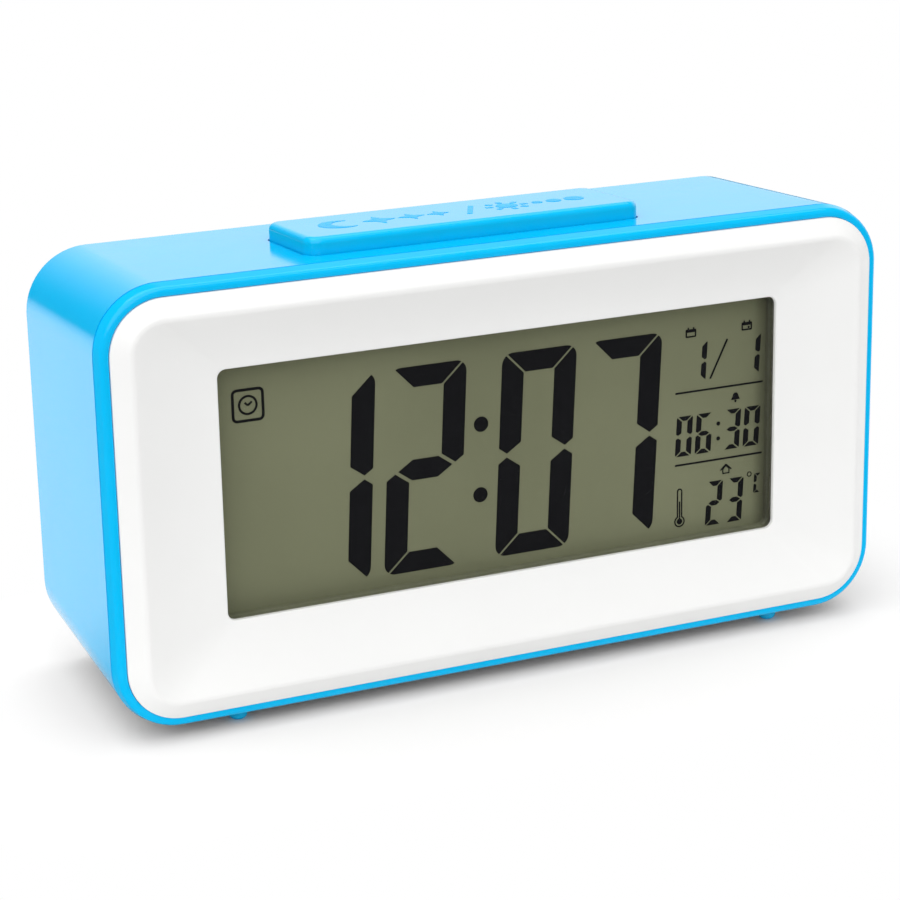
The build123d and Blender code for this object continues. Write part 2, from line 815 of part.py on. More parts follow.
# Leaf springs: a flat foot on the bracket, a half-round bend and a flat under the peg
with BuildPart() as snooze_springs:
    spring_side = Plane(origin=top_plane.origin, x_dir=(1, 0, 0), z_dir=-top_plane.y_dir)
    leaf_low = bracket_top + spring_thickness / 2
    leaf_high = peg_low - spring_gap - spring_thickness / 2
    bend = (leaf_high - leaf_low) / 2
    for side in (-1, 1):
        with BuildSketch(spring_side.offset(-bracket_setback)) as leaf:
            with BuildLine():
                bend_x = side * (spring_spread / 2 + spring_leg / 2)
                foot_x = bend_x - side * spring_leg
                Line((foot_x, leaf_low), (bend_x, leaf_low))
                ThreePointArc(
                    (bend_x, leaf_low), (bend_x + side * bend, leaf_low + bend), (bend_x, leaf_high)
                )
                Line((bend_x, leaf_high), (foot_x, leaf_high))
            trace(line_width=spring_thickness)
        extrude(leaf.sketch, amount=spring_width / 2, both=True)
pieces["snooze_springs"] = snooze_springs

# Key board, its switches and the four rear buttons
with BuildPart() as key_board:
    slab(key_board_y, key_board_back_y, *key_board_outline)
    for x in key_posts_x:
        peg(board_screw_radius + screw_clear, key_board_y, key_board_back_y, x, control_z, mode=Mode.SUBTRACT)
pieces["key_board"] = key_board

with BuildPart() as key_screws:
    for x in key_posts_x:
        screw_end_y = key_board_back_y + key_screw_bite - screw_clear
        peg(board_screw_radius, key_board_y, screw_end_y, x, control_z)
        peg(screw_head_radius, key_board_y - screw_head_height, key_board_y, x, control_z)
pieces["key_screws"] = key_screws

with BuildPart() as button_switches:
    half = switch_size / 2
    for x in button_xs:
        block((x - half, x + half), (key_board_back_y, key_switch_y), (control_z - half, control_z + half))
        well_y = key_switch_y - plunger_sunk - button_travel - plunger_room
        peg(plunger_radius + plunger_gap, well_y, key_switch_y, x, control_z, mode=Mode.SUBTRACT)
pieces["button_switches"] = button_switches

for i, x in enumerate(button_xs):
    with BuildPart() as rear_button:
        peg(button_radius, flange_y, back_y - button_inset, x, control_z)
        fillet(rear_button.edges().group_by(Axis.Y)[-1], button_round)
        peg(button_radius + button_flange_width, flange_y, flange_y + button_flange_thickness, x, control_z)
    pieces[f"rear_button_{i + 1}"] = rear_button
    with BuildPart() as button_plunger:
        peg(plunger_radius, key_switch_y - plunger_sunk, key_plunger_y, x, control_z)
    pieces[f"button_plunger_{i + 1}"] = button_plunger

# Alarm slide switch: its knob rests at the low end of its slot
knob_low = slide_x - slot_length / 2 + slide_gap
knob_y = key_board_back_y + slide_body_height - knob_sunk
knob_top_y = back_y - knob_inset
with BuildPart() as alarm_switch_body:
    slide_top_y = key_board_back_y + slide_body_height
    block(
        (slide_x - slot_length / 2 - slide_body_margin, slide_x + slot_length / 2 + slide_body_margin),
        (key_board_back_y, slide_top_y),
        (control_z - slot_width / 2 - slide_body_margin, control_z + slot_width / 2 + slide_body_margin),
    )
    block(
        (slide_x - slot_length / 2, slide_x + slot_length / 2),
        (knob_y - slide_gap, slide_top_y),
        (control_z - slot_width / 2, control_z + slot_width / 2),
        mode=Mode.SUBTRACT,
    )
pieces["alarm_switch_body"] = alarm_switch_body

with BuildPart() as alarm_switch_knob:
    knob_z = (control_z - knob_width / 2, control_z + knob_width / 2)
    block((knob_low, knob_low + knob_length), (knob_y, knob_top_y), knob_z)
    for i in range(knob_ribs):
        groove_x = knob_low + knob_length * (i + 1) / (knob_ribs + 1)
        block(
            (groove_x - rib_width / 2, groove_x + rib_width / 2),
            (knob_top_y - rib_depth, knob_top_y),
            knob_z,
            mode=Mode.SUBTRACT,
        )
pieces["alarm_switch_knob"] = alarm_switch_knob

# Battery door: a flush plate with two hooks behind the wall and grip grooves
with BuildPart() as battery_door:
    block((bay_shift - door_half, bay_shift + door_half), (door_inner_y, back_y), (door_low, door_high))
    for x in hook_xs:
        hook_x = (x - hook_width / 2, x + hook_width / 2)
        block(hook_x, (hook_y[0], door_inner_y + fuse_depth), (door_low + door_gap, hook_z[1]))
        block(hook_x, hook_y, hook_z)
    for i in range(grip_count):
        grip_z = door_high - (i + 2) * grip_pitch
        block(
            (bay_shift - grip_length / 2, bay_shift + grip_length / 2),
            (back_y - grip_depth, back_y),
            (grip_z - grip_width / 2, grip_z + grip_width / 2),
            mode=Mode.SUBTRACT,
        )
pieces["battery_door"] = battery_door

# Cells lie head to tail, each nub against a plate and each base against a spring
with BuildPart() as battery_cells:
    for i, z in enumerate(cell_zs):
        way = cell_ways[i]
        nub_x = bay_shift + way * (bay_half - plate_thickness - plate_gap)
        with Locations((nub_x - way * (nub_length + cell_length) / 2, cell_y, z)):
            Cylinder(cell_diameter / 2, cell_length - nub_length, rotation=(0, 90, 0))
        with Locations((nub_x - way * nub_length / 2, cell_y, z)):
            Cylinder(nub_radius, nub_length, rotation=(0, 90, 0))
pieces["battery_cells"] = battery_cells

# Contacts: a plate for each cell end, leaf springs at the bases and a bridge on each wall
with BuildPart() as battery_contacts:
    half = plate_size / 2
    for side in (-1, 1):
        wall_x = bay_shift + side * bay_half
        face_x = wall_x - side * plate_thickness
        plate_x = sorted((wall_x, face_x))
        for z in cell_zs:
            block(plate_x, (cell_y - half, cell_y + half), (z - half, z + half))
        bridged = cell_zs[:2] if side < 0 else cell_zs[1:]
        block(plate_x, (cell_y - bridge_width / 2, cell_y + bridge_width / 2), bridged)
    for i, z in enumerate(cell_zs):
        way = cell_ways[i]
        leaf_x = bay_shift - way * (bay_half - plate_thickness / 2)
        with BuildSketch(Plane.XY.offset(z)) as leaf:
            with BuildLine():
                Polyline(
                    (leaf_x, cell_y + half - plate_thickness),
                    (leaf_x + way * leaf_reach, cell_y),
                    (leaf_x + way * leaf_reach / 2, cell_y - half / 2),
                )
            trace(line_width=plate_thickness)
        extrude(leaf.sketch, amount=leaf_width / 2, both=True)
pieces["battery_contacts"] = battery_contacts

with BuildPart() as piezo_buzzer:
    peg(buzzer_radius, buzzer_y, buzzer_y + buzzer_depth, buzzer_x, buzzer_z)
pieces["piezo_buzzer"] = piezo_buzzer


# Leads: each follows straight runs joined by tangent arcs
def lead(points, radius):
    with BuildLine() as path:
        FilletPolyline(*points, radius=lead_share * min((b - a).length for a, b in zip(points, points[1:])))
    with BuildSketch(Plane(origin=path.line @ 0, z_dir=path.line % 0)) as section:
        Circle(radius)
    sweep(section.sketch, path=path.line)


with BuildPart() as battery_leads:
    for side, z in battery_leads_at:
        start_x = bay_shift + side * bay_half
        turn_x = start_x + side * lead_run
        lead(
            [Vector(start_x, cell_y, z), Vector(turn_x, cell_y, z), Vector(turn_x, board_back_y, z)],
            lead_radius,
        )
pieces["battery_leads"] = battery_leads

with BuildPart() as buzzer_leads:
    for side in (-1, 1):
        lead_x = buzzer_x + side * buzzer_lead_pitch / 2
        board_x = lead_x - buzzer_lead_step
        lead(
            [
                Vector(lead_x, buzzer_y, buzzer_z),
                Vector(lead_x, buzzer_y - buzzer_lead_run, buzzer_z),
                Vector(board_x, board_back_y + buzzer_lead_run, buzzer_z),
                Vector(board_x, board_back_y, buzzer_z),
            ],
            lead_radius,
        )
pieces["buzzer_leads"] = buzzer_leads

with BuildPart() as key_ribbon:
    ribbon_z = control_z - ribbon_drop
    with BuildLine() as ribbon_path:
        FilletPolyline(
            (controls_x, key_board_y, ribbon_z),
            (controls_x, key_board_y - ribbon_run, ribbon_z),
            (controls_x, board_back_y + ribbon_run, ribbon_z - ribbon_fall),
            (controls_x, board_back_y, ribbon_z - ribbon_fall),
            radius=ribbon_run,
        )
    with BuildSketch(at_depth(key_board_y)) as ribbon_section:
        with Locations((controls_x, ribbon_z)):
            Rectangle(ribbon_width, ribbon_thickness)
    sweep(ribbon_section.sketch, path=ribbon_path.line)
pieces["key_ribbon"] = key_ribbon

with BuildPart() as snooze_leads:
    for side in (-1, 1):
        joint = top_plane.from_local_coords(
            (side * snooze_lead_pitch / 2, bracket_setback, bracket_top - screw_clear)
        )
        lead(
            [
                joint,
                joint - Vector(0, 0, snooze_lead_fall),
                Vector(joint.X, board_back_y, joint.Z - snooze_lead_fall),
            ],
            snooze_lead_radius,
        )
pieces["snooze_leads"] = snooze_leads

for name, piece in pieces.items():
    piece.part.label = name
    export_step(piece.part, f"parts/{name}.step")
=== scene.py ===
import json
from math import acos, asin, cos, pi, radians, sin

import bmesh
import bpy
from mathutils import Color, Euler, Matrix, Vector


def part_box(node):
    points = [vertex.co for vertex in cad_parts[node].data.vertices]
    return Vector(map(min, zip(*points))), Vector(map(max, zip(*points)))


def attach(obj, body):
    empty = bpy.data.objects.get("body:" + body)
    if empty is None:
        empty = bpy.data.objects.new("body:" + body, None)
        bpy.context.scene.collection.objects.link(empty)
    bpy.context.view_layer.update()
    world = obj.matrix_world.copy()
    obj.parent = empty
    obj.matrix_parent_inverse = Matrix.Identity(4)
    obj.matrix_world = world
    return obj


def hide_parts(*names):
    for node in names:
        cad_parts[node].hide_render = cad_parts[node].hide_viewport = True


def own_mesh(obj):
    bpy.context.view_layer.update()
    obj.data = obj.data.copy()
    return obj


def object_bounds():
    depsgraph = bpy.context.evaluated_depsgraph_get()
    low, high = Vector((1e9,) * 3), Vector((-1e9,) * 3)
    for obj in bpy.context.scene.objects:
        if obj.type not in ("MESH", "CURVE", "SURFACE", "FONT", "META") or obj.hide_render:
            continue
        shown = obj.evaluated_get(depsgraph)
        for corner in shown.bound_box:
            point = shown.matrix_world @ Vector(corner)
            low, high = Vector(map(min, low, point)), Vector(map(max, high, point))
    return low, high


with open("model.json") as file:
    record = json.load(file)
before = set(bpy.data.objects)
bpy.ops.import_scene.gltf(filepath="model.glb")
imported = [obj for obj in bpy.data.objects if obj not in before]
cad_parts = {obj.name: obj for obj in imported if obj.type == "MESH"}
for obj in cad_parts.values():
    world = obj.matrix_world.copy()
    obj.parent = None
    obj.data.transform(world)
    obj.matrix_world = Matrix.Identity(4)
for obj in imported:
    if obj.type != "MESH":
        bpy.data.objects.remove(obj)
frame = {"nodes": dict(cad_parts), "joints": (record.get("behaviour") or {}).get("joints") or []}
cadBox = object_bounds()
nodes = frame["nodes"]
joints = {joint["name"]: joint for joint in frame["joints"]}
scene = bpy.context.scene
scene.view_settings.view_transform = "Standard"
mm = 0.001
buttonNumbers = range(1, 5)
print("frame loaded:", len(nodes), "nodes")


# Small helpers for finishes
def screenColour(red, green, blue):  # 0 to 255 as a screen shows it
    return (*Color((red / 255, green / 255, blue / 255)).from_srgb_to_scene_linear(), 1.0)


def grey(level):
    return (level, level, level, 1.0)


def dimmed(colour, share):
    return (*(part * share for part in colour[:3]), 1.0)


def startFinish(name):
    finish = bpy.data.materials.new(name)
    finish.use_nodes = True
    tree = finish.node_tree
    place = tree.nodes.new("ShaderNodeTexCoord").outputs["Object"]
    return finish, tree, tree.nodes["Principled BSDF"], place


def specks(tree, place, size, detail=2.0, stretch=(1, 1, 1)):  # soft noise, size in metres
    squeeze = tree.nodes.new("ShaderNodeMapping")
    squeeze.inputs["Scale"].default_value = stretch
    noise = tree.nodes.new("ShaderNodeTexNoise")
    noise.inputs["Scale"].default_value = 1 / size
    noise.inputs["Detail"].default_value = detail
    tree.links.new(place, squeeze.inputs["Vector"])
    tree.links.new(squeeze.outputs["Vector"], noise.inputs["Vector"])
    return noise.outputs["Fac"]


def stripes(tree, place, pitch, axis):  # repeating bands along X, Y or Z
    wave = tree.nodes.new("ShaderNodeTexWave")
    wave.bands_direction = axis
    wave.inputs["Scale"].default_value = pi / (10 * pitch)  # at scale 1 the bands are pi / 10 apart
    tree.links.new(place, wave.inputs["Vector"])
    return wave.outputs["Fac"]


def along(tree, place, axis):  # one coordinate of the place
    split = tree.nodes.new("ShaderNodeSeparateXYZ")
    tree.links.new(place, split.inputs["Vector"])
    return split.outputs[axis]


def towards(tree, place, way):  # how far the place lies along a direction
    product = tree.nodes.new("ShaderNodeVectorMath")
    product.operation = "DOT_PRODUCT"
    product.inputs[1].default_value = way
    tree.links.new(place, product.inputs[0])
    return product.outputs["Value"]


def between(tree, value, low, high, start=0.3, end=0.7):  # spreads a value over a range
    span = tree.nodes.new("ShaderNodeMapRange")
    for key, number in (("From Min", start), ("From Max", end), ("To Min", low), ("To Max", high)):
        span.inputs[key].default_value = number
    tree.links.new(value, span.inputs["Value"])
    return span.outputs["Result"]


def feed(tree, socket, value):  # a number is set, an output is linked
    if isinstance(value, float):
        socket.default_value = value
    else:
        tree.links.new(value, socket)


def mathNode(tree, rule, *values):  # each value is a number or an output
    node = tree.nodes.new("ShaderNodeMath")
    node.operation = rule
    for socket, value in zip(node.inputs, values):
        feed(tree, socket, value)
    return node.outputs["Value"]


def shades(tree, value, first, second, start=0.3, end=0.7):  # from one colour to another
    ramp = tree.nodes.new("ShaderNodeValToRGB")
    for stop, position, colour in zip(ramp.color_ramp.elements, (start, end), (first, second)):
        stop.position = position
        stop.color = colour
    tree.links.new(value, ramp.inputs["Fac"])
    return ramp.outputs["Color"]


def blended(tree, factor, first, second):  # from an output's colour to a fixed one
    mix = tree.nodes.new("ShaderNodeMix")
    mix.data_type = "RGBA"
    share, under, over = mix.inputs[0], mix.inputs[6], mix.inputs[7]  # the sockets for colours
    tree.links.new(factor, share)
    tree.links.new(first, under)
    over.default_value = second
    return mix.outputs[2]


def smears(tree, shader, place, size, rough, detail=2.0):  # uneven roughness
    haze = specks(tree, place, size, detail)
    tree.links.new(between(tree, haze, *rough), shader.inputs["Roughness"])


def relief(tree, shader, value, depth):  # depth in metres
    bump = tree.nodes.new("ShaderNodeBump")
    bump.inputs["Distance"].default_value = depth
    tree.links.new(value, bump.inputs["Height"])
    tree.links.new(bump.outputs["Normal"], shader.inputs["Normal"])


def setLook(node, **values):  # plain numbers go straight on the sockets
    for key, value in values.items():
        node.inputs[key.replace("_", " ")].default_value = value


def shownInstead(tree, shader, factor, other):  # the other shader shows where the factor is 1
    mix = tree.nodes.new("ShaderNodeMixShader")
    for socket, source in zip(mix.inputs, (factor, shader.outputs["BSDF"], other)):
        tree.links.new(source, socket)
    tree.links.new(mix.outputs["Shader"], tree.nodes["Material Output"].inputs["Surface"])


def moulded(name, look):  # injection moulded plastic
    finish, tree, shader, place = startFinish(name)
    colour = screenColour(*look["colour"])
    tone = shades(tree, specks(tree, place, look["patch"]), dimmed(colour, 1 - look["vary"]), colour)
    tree.links.new(tone, shader.inputs["Base Color"])
    smears(tree, shader, place, look["smear"], look["rough"], detail=3.0)
    relief(tree, shader, specks(tree, place, look["skin"], detail=1.0), look["depth"])
    if "gloss" in look:
        setLook(shader, Specular_IOR_Level=look["gloss"])
    return finish


def metal(name, look):  # rolled or drawn metal with fine lines along one axis
    finish, tree, shader, place = startFinish(name)
    colour = screenColour(*look["colour"])
    lines = specks(tree, place, look["line"], detail=3.0, stretch=look["stretch"])
    tone = shades(tree, lines, dimmed(colour, 1 - look["vary"]), colour)
    tree.links.new(tone, shader.inputs["Base Color"])
    tree.links.new(between(tree, lines, *look["rough"]), shader.inputs["Roughness"])
    relief(tree, shader, lines, look["depth"])
    setLook(shader, Metallic=1.0)
    return finish


# Finishes of the shell
shellLook = dict(
    colour=(0, 193, 251), vary=0.03, patch=18 * mm, rough=(0.1, 0.16), smear=4 * mm,
    skin=2.5 * mm, depth=0.4e-6, bounce=0.45, near=1.5 * mm,
)
bezelLook = dict(
    colour=(247, 247, 246), vary=0.012, patch=12 * mm, rough=(0.3, 0.4), smear=2 * mm,
    skin=0.25 * mm, depth=1.2e-6,
)
# The holder's shade and fade give a painted shade at its right end, under the lip
maskLook = dict(
    colour=(122, 124, 99), vary=0.1, patch=3 * mm, rough=(0.55, 0.7), smear=1 * mm,
    skin=0.2 * mm, depth=3e-6, paintedShade=(84, 85, 68), fade=1.2 * mm,
)
keyLook = dict(
    colour=(236, 237, 236), vary=0.03, patch=3 * mm, rough=(0.28, 0.38), smear=1 * mm,
    skin=0.3 * mm, depth=1.5e-6,
)
darkLook = dict(
    colour=(34, 34, 36), vary=0.2, patch=2 * mm, rough=(0.45, 0.6), smear=1 * mm,
    skin=0.2 * mm, depth=3e-6,
)


def neutralBounce(finish, level, reach):  # the light it throws further than the reach keeps no tint
    tree = finish.node_tree
    colour = tree.nodes["Principled BSDF"].inputs["Base Color"]
    rays = tree.nodes.new("ShaderNodeLightPath").outputs
    far = mathNode(tree, "GREATER_THAN", rays["Ray Length"], reach)
    thrown = mathNode(tree, "MULTIPLY", rays["Is Diffuse Ray"], far)
    tree.links.new(blended(tree, thrown, colour.links[0].from_socket, grey(level)), colour)


def paintShadeTowards(finish, axis, start, end, paintedShade):  # painted shade: blends its colour to a darker shade along one axis
    tree = finish.node_tree
    colour = tree.nodes["Principled BSDF"].inputs["Base Color"]
    place = tree.nodes.new("ShaderNodeTexCoord").outputs["Object"]
    near = between(tree, along(tree, place, axis), 0, 1, start, end)
    tree.links.new(blended(tree, near, colour.links[0].from_socket, screenColour(*paintedShade)), colour)


blueShell = moulded("blueShell", shellLook)
neutralBounce(blueShell, shellLook["bounce"], shellLook["near"])
whiteBezel = moulded("whiteBezel", bezelLook)
displayMask = moulded("displayMask", maskLook)
whiteKey = moulded("whiteKey", keyLook)
darkPlastic = moulded("darkPlastic", darkLook)
print("shell finishes made")

# Clear lens: lamps and diffuse light pass straight through it
lensLook = dict(
    rough=(0.01, 0.04), smear=6 * mm, ior=1.49, gloss=0.08, tint=(250, 252, 250), cover=2 * mm
)


def clearLens(look):
    finish, tree, shader, place = startFinish("clearLens")
    setLook(shader, Transmission_Weight=1.0, IOR=look["ior"], Specular_IOR_Level=look["gloss"])
    setLook(shader, Base_Color=screenColour(*look["tint"]))
    smears(tree, shader, place, look["smear"], look["rough"])
    rays = tree.nodes.new("ShaderNodeLightPath").outputs
    passing = mathNode(tree, "MAXIMUM", rays["Is Shadow Ray"], rays["Is Diffuse Ray"])
    clear = tree.nodes.new("ShaderNodeBsdfTransparent").outputs["BSDF"]
    shownInstead(tree, shader, passing, clear)
    return finish


# Display glass: a matt grey green polariser with a faint cloud, and a painted shade at its right end under
# the lip
panelLook = dict(
    dark=(119, 121, 96), light=(128, 130, 104), cloud=35 * mm, rough=(0.6, 0.7), grain=0.12 * mm,
    gloss=0.05, paintedShade=(92, 93, 74), fade=2.4 * mm,
)


def displayPanel(look):
    finish, tree, shader, place = startFinish("displayPanel")
    cloud = specks(tree, place, look["cloud"], detail=1.0)
    tone = shades(tree, cloud, screenColour(*look["dark"]), screenColour(*look["light"]))
    tree.links.new(tone, shader.inputs["Base Color"])
    smears(tree, shader, place, look["grain"], look["rough"], detail=1.0)
    setLook(shader, Specular_IOR_Level=look["gloss"])
    return finish


inkLook = dict(
    colour=(20, 20, 23), vary=0.1, patch=4 * mm, rough=(0.7, 0.8), smear=1 * mm,
    skin=2 * mm, depth=0.1e-6, gloss=0.0,
)
lensFinish = clearLens(lensLook)
panelFinish = displayPanel(panelLook)
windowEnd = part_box("display_window")[1].x - lensLook["cover"]  # where the lip ends over the lens
# Painted shade under the lip: the panel and the holder darken towards the window's right end
for finish, look in ((panelFinish, panelLook), (displayMask, maskLook)):
    paintShadeTowards(finish, "X", windowEnd - look["fade"], windowEnd, look["paintedShade"])
segmentInk = moulded("segmentInk", inkLook)
print("display finishes made")

# Finishes of the inner parts
steelLook = dict(
    colour=(196, 197, 200), vary=0.2, line=0.15 * mm, stretch=(1, 1, 6), rough=(0.22, 0.38), depth=1e-6
)
canLook = dict(
    colour=(214, 215, 219), vary=0.2, line=0.2 * mm, stretch=(6, 1, 1), rough=(0.15, 0.28), depth=0.6e-6
)
brassLook = dict(
    colour=(214, 184, 112), vary=0.2, line=0.3 * mm, stretch=(1, 6, 1), rough=(0.25, 0.4), depth=1e-6
)
guideLook = dict(
    colour=(226, 231, 228), vary=0.05, patch=5 * mm, rough=(0.35, 0.5), smear=0.5 * mm,
    skin=0.3 * mm, depth=3e-6,
)
ledLook = dict(
    colour=(246, 238, 190), vary=0.1, patch=1 * mm, rough=(0.15, 0.3), smear=0.5 * mm,
    skin=0.3 * mm, depth=1e-6,
)
resinLook = dict(
    colour=(20, 20, 21), vary=0.3, patch=1.5 * mm, rough=(0.18, 0.35), smear=1 * mm,
    skin=1 * mm, depth=12e-6,
)
sleeveLook = dict(
    vary=0.1, patch=2 * mm, rough=(0.35, 0.45), smear=1 * mm, skin=0.4 * mm, depth=2e-6
)
leadColours = dict(
    battery_leads=(196, 30, 26), buzzer_leads=(30, 30, 32), snooze_leads=(228, 228, 224)
)
boardLook = dict(
    mask=(16, 92, 42), track=(38, 128, 62), pitch=1.9 * mm, line=0.03, bias=-0.2,
    rough=(0.25, 0.4), depth=15e-6,
)
rubberLook = dict(
    first=(205, 120, 130), second=(60, 58, 60), pitch=0.36 * mm, edge=(0.45, 0.55),
    rough=(0.6, 0.75), smear=1.08 * mm,
)
ribbonLook = dict(
    first=(150, 152, 156), second=(206, 207, 210), pitch=1.3 * mm, edge=(0.05, 0.3),
    rough=(0.4, 0.5), smear=1.3 * mm, depth=60e-6,
)
jacketLook = dict(
    body=(46, 92, 78), band=(222, 224, 220), metal=(205, 206, 208), bandStart=0.72, bandWidth=4 * mm,
    metalStart=0.93, edge=0.001, rough=(0.25, 0.35), smear=2 * mm,
)


def lacquered(look):  # circuit board with tracks under green lacquer
    finish, tree, shader, place = startFinish("lacqueredBoard")
    link = tree.links.new
    brick = tree.nodes.new("ShaderNodeTexBrick")
    turn = tree.nodes.new("ShaderNodeMapping")
    turn.inputs["Rotation"].default_value = (radians(90), 0, 0)
    link(place, turn.inputs["Vector"])
    link(turn.outputs["Vector"], brick.inputs["Vector"])
    scale = brick.inputs["Row Height"].default_value / look["pitch"]
    setLook(brick, Scale=scale, Mortar_Size=look["line"], Bias=look["bias"])
    mask, track = screenColour(*look["mask"]), screenColour(*look["track"])
    setLook(brick, Color1=mask, Color2=mask, Mortar=track)
    link(brick.outputs["Color"], shader.inputs["Base Color"])
    smears(tree, shader, place, look["pitch"], look["rough"])
    relief(tree, shader, brick.outputs["Fac"], look["depth"])
    return finish


def striped(name, look):  # bands of two colours, grooved where a depth is given
    finish, tree, shader, place = startFinish(name)
    bands = stripes(tree, place, look["pitch"], "X")
    colours = screenColour(*look["first"]), screenColour(*look["second"])
    tree.links.new(shades(tree, bands, *colours, *look["edge"]), shader.inputs["Base Color"])
    smears(tree, shader, place, look["smear"], look["rough"])
    if "depth" in look:
        relief(tree, shader, bands, look["depth"])
    return finish


def cellJacket(look, middle, half):  # printed film with a pale band, bare metal at the ends
    finish, tree, shader, place = startFinish("cellJacket")
    link = tree.links.new
    offset = mathNode(tree, "SUBTRACT", along(tree, place, "X"), middle)
    reach = between(tree, mathNode(tree, "ABSOLUTE", offset), 0, 1, 0, half)
    ramp = tree.nodes.new("ShaderNodeValToRGB")
    ramp.color_ramp.interpolation = "CONSTANT"
    stops = ramp.color_ramp.elements
    stops[0].color = screenColour(*look["body"])
    stops[1].position = look["bandStart"]
    stops[1].color = screenColour(*look["band"])
    bandEnd = look["bandStart"] + look["bandWidth"] / half
    for position, colour in ((bandEnd, look["body"]), (look["metalStart"], look["metal"])):
        stops.new(position).color = screenColour(*colour)
    link(reach, ramp.inputs["Fac"])
    link(ramp.outputs["Color"], shader.inputs["Base Color"])
    bare = look["metalStart"] - look["edge"], look["metalStart"] + look["edge"]
    link(between(tree, reach, 0, 1, *bare), shader.inputs["Metallic"])
    smears(tree, shader, place, look["smear"], look["rough"])
    return finish


cellLow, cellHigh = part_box("battery_cells")
finishes = {
    blueShell: ["rear_case", "front_rim", "snooze_bar", "battery_door"],
    whiteBezel: ["front_bezel"],
    lensFinish: ["display_window"],
    displayMask: ["lcd_frame"],
    panelFinish: ["lcd_front_glass", "lcd_rear_glass"],
    whiteKey: [f"rear_button_{i}" for i in buttonNumbers],
    darkPlastic: [
        "snooze_bracket", "snooze_switch", "snooze_plunger", "button_switches",
        "alarm_switch_body", "alarm_switch_knob", *(f"button_plunger_{i}" for i in buttonNumbers),
    ],
    metal("plainSteel", steelLook): [
        "board_screws", "case_screws", "bracket_screws", "key_screws", "snooze_springs", "battery_contacts"
    ],
    metal("drawnCan", canLook): ["quartz_crystal", "capacitors"],
    metal("plainBrass", brassLook): ["piezo_buzzer"],
    moulded("frostedGuide", guideLook): ["light_guide"],
    moulded("ledLens", ledLook): ["backlight_leds"],
    moulded("domedResin", resinLook): ["chip_blob", "thermistor"],
    lacquered(boardLook): ["main_board", "snooze_board", "key_board"],
    striped("layeredRubber", rubberLook): ["contact_strip"],
    striped("ribbonSleeve", ribbonLook): ["key_ribbon"],
    cellJacket(jacketLook, (cellLow.x + cellHigh.x) / 2, (cellHigh.x - cellLow.x) / 2): ["battery_cells"],
}
for name, colour in leadColours.items():
    finishes[moulded(name + "Sleeve", dict(sleeveLook, colour=colour))] = [name]

# Normals: loose triangles are welded and shaded smooth below an angle
softLook = dict(weld=0.0005 * mm, sharpest=44)


def softNormals(look):
    group = bpy.data.node_groups.new("softNormals", "GeometryNodeTree")
    for way in ("INPUT", "OUTPUT"):
        group.interface.new_socket("Geometry", in_out=way, socket_type="NodeSocketGeometry")
    kinds = (
        "NodeGroupInput",
        "GeometryNodeMergeByDistance",
        "GeometryNodeSetShadeSmooth",
        "GeometryNodeSetShadeSmooth",
        "NodeGroupOutput",
    )
    chain = [group.nodes.new(kind) for kind in kinds]
    for before, after in zip(chain, chain[1:]):
        group.links.new(before.outputs[0], after.inputs[0])
    weld, sharpen = chain[1], chain[3]
    weld.inputs["Distance"].default_value = look["weld"]
    sharpen.domain = "EDGE"
    sharpen.inputs["Shade Smooth"].default_value = False
    angle = group.nodes.new("GeometryNodeInputMeshEdgeAngle")
    sharp = group.nodes.new("FunctionNodeCompare")
    sharp.operation = "GREATER_THAN"
    sharp.inputs["B"].default_value = radians(look["sharpest"])
    group.links.new(angle.outputs["Unsigned Angle"], sharp.inputs["A"])
    group.links.new(sharp.outputs["Result"], sharpen.inputs["Selection"])
    return group


softGroup = softNormals(softLook)


def shadeSoftly(piece):
    piece.modifiers.new("softNormals", "NODES").node_group = softGroup
    weighted = piece.modifiers.new("weightedNormals", "WEIGHTED_NORMAL")
    weighted.keep_sharp = True


for finish, names in finishes.items():
    for name in names:
        node = nodes[name]
        for slot in node.material_slots:
            slot.material = finish
        shadeSoftly(node)
print("finishes set on", sum(len(names) for names in finishes.values()), "nodes")


# Marks: flat outlines in the XZ plane, in millimetres, made into thin plates
def addMesh(bm, part, matrix):
    bmesh.ops.transform(part, matrix=matrix, verts=part.verts)
    mesh = bpy.data.meshes.new("part")
    part.to_mesh(mesh)
    part.free()
    bm.from_mesh(mesh)
    bpy.data.meshes.remove(mesh)


def addOutline(bm, points):
    return bm.faces.new([bm.verts.new((x, 0, z)) for x, z in points])


def addStroke(bm, first, second, line):
    a, b = Vector(first), Vector(second)
    side = (b - a).orthogonal().normalized() * line / 2
    addOutline(bm, (a + side, b + side, b - side, a - side))


def addDisc(bm, centre, radius, segments=40):
    turn = Matrix.Translation((centre[0], 0, centre[1])) @ Matrix.Rotation(radians(90), 4, "X")
    made = bmesh.ops.create_circle(bm, cap_ends=True, segments=segments, radius=radius, matrix=turn)
    return made["verts"][0].link_faces[0]


def roundCorners(bm, corners, radius):
    bmesh.ops.bevel(
        bm, geom=corners, offset=radius, segments=6, profile=0.5, affect="VERTICES", material=-1
    )


def addBox(bm, low, high, radius):
    face = addOutline(bm, ((low[0], low[1]), (high[0], low[1]), (high[0], high[1]), (low[0], high[1])))
    before = set(bm.faces) - {face}
    roundCorners(bm, face.verts[:], radius)
    return (set(bm.faces) - before).pop()


def hollow(bm, face, line):  # keeps only a line along the outline
    bmesh.ops.inset_region(bm, faces=[face], thickness=line, use_even_offset=True, use_boundary=True)
    bmesh.ops.delete(bm, geom=[face], context="FACES_ONLY")


def addRing(bm, outer, inner):  # a band between two outlines with as many points each
    loops = [[bm.verts.new((x, 0, z)) for x, z in points] for points in (outer, inner)]
    for i in range(len(outer)):
        bm.faces.new((loops[0][i - 1], loops[0][i], loops[1][i], loops[1][i - 1]))


def arc(start, sweep, steps):  # angles from the start to the end of a sweep
    return [start + i * sweep / steps for i in range(steps + 1)]


# Bell in shares of its size
bellShape = dict(mouth=0.95, foot=0.55, side=0.6, neck=0.15, dome=0.65, hang=0.85, clapper=0.24)


